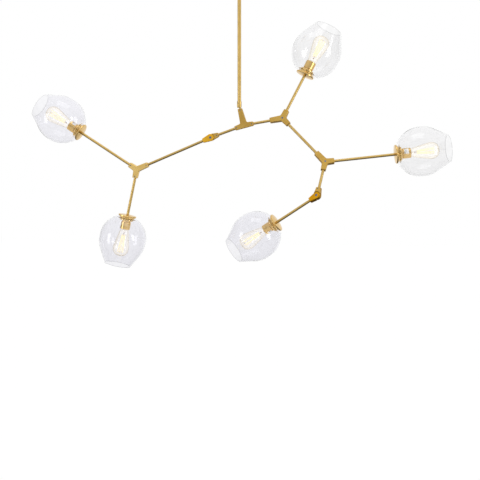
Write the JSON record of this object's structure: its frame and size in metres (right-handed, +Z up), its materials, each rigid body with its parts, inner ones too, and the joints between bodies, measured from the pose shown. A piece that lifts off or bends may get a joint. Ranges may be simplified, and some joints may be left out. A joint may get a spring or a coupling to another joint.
{
  "type": "branch chandelier",
  "caption": "Branching ceiling light: a stem and a swivel carry rods joined by flat T and Y castings, with lap knuckles and open glass globes around bulbs.",
  "frame": {"origin": "on the ceiling plane, at the stem's axis and midway between the bracket's two screw slots", "axes": "+Z up, +X to the viewer's right across the branches, -Y towards the viewer"},
  "size_m": [1.4096, 0.2583, 0.9842],
  "materials": {
    "satin_gold": "satin, cast",
    "brushed_gold": "satin, drawn tube",
    "polished_gold": "polished, turned",
    "steel": "zinc plated",
    "contact_brass": "plain",
    "porcelain": "glazed",
    "cap_nickel": "nickel plated",
    "bulb_glass": "clear",
    "filament": "glowing yellow",
    "globe_glass": "clear, mouth-blown",
    "cable_sheath": "plain",
    "terminal_plastic": "plain"
  },
  "bodies": {
    "ceiling_part": {"canopy": "brushed_gold", "canopy_collar": "brushed_gold", "ceiling_bracket": "steel", "nipple_nuts": "steel", "stem": "brushed_gold", "stem_cable": "cable_sheath", "swivel_body": "brushed_gold", "swivel_lock_screw": "steel", "swivel_ring": "brushed_gold", "terminal_block": "terminal_plastic", "threaded_nipple": "steel"},
    "main_branch": {"globe_3": "globe_glass", "globe_4": "globe_glass", "knuckle_backs": "satin_gold", "knuckle_pivot_screws": "steel", "main_branch_cables": "cable_sheath", "main_branch_covers": "satin_gold", "main_branch_rods": "brushed_gold", "main_branch_screws": "steel", "main_bulb_caps": "cap_nickel", "main_bulb_envelopes": "bulb_glass", "main_bulb_filaments": "filament", "main_lamp_contacts": "contact_brass", "main_lamp_cups": "polished_gold", "main_lamp_flanges": "polished_gold", "main_lamp_insulators": "porcelain", "main_lamp_rings": "polished_gold", "swivel_ball": "brushed_gold", "t_connector": "satin_gold", "y2_connector": "satin_gold", "y3_connector": "satin_gold"},
    "left_branch": {"globe_1": "globe_glass", "globe_2": "globe_glass", "left_branch_cables": "cable_sheath", "left_branch_cover": "satin_gold", "left_branch_rods": "brushed_gold", "left_branch_screws": "steel", "left_bulb_caps": "cap_nickel", "left_bulb_envelopes": "bulb_glass", "left_bulb_filaments": "filament", "left_knuckle_front": "satin_gold", "left_lamp_contacts": "contact_brass", "left_lamp_cups": "polished_gold", "left_lamp_flanges": "polished_gold", "left_lamp_insulators": "porcelain", "left_lamp_rings": "polished_gold", "y1_connector": "satin_gold"},
    "lower_arm": {"globe_5": "globe_glass", "lower_arm_cable": "cable_sheath", "lower_arm_rod": "brushed_gold", "lower_arm_screws": "steel", "lower_bulb_cap": "cap_nickel", "lower_bulb_envelope": "bulb_glass", "lower_bulb_filament": "filament", "lower_lamp_contacts": "contact_brass", "lower_lamp_cup": "polished_gold", "lower_lamp_flange": "polished_gold", "lower_lamp_insulator": "porcelain", "lower_lamp_ring": "polished_gold", "right_knuckle_front": "satin_gold"}
  },
  "joints": [
    {"name": "swivel_tilt", "type": "hinge", "parent": "ceiling_part", "child": "main_branch", "pos_m": [0, 0, -0.44], "axis": [0, -1, 0], "range_deg": [-32.5, 3.5]},
    {"name": "left_knuckle", "type": "hinge", "parent": "main_branch", "child": "left_branch", "pos_m": [-0.09697, 0, -0.5425], "axis": [0, -1, 0], "range_deg": [-40, 35]},
    {"name": "right_knuckle", "type": "hinge", "parent": "main_branch", "child": "lower_arm", "pos_m": [0.26662, -0.08088, -0.73135], "axis": [-0.3822, -0.821, 0.4241], "range_deg": [-15, 120]}
  ]
}
